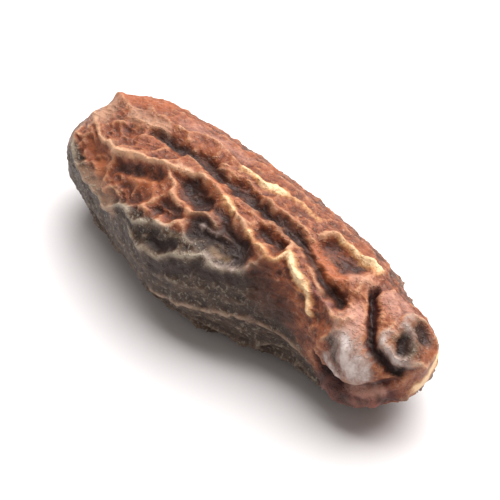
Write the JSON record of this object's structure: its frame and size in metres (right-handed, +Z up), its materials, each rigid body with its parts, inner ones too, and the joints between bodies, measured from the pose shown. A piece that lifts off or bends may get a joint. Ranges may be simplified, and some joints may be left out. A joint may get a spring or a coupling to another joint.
{
  "type": "tonka bean",
  "caption": "Dried tonka bean: a long, blunt, slightly kidney-shaped seed with a deeply wrinkled skin, a furrow along its back and a knob and lip at one end.",
  "frame": {"origin": "under the middle of the bean, on the surface that it lies on", "axes": "+X along the bean to the end with the knob and lip, +Z up, with the belly down"},
  "size_m": [0.0352, 0.0132, 0.0109],
  "materials": {
    "skin": "semi-matte dried seed coat, red-brown along the top and grey-brown down the flanks, with pale crests"
  },
  "bodies": {
    "root": {"bean": "skin"}
  },
  "joints": []
}
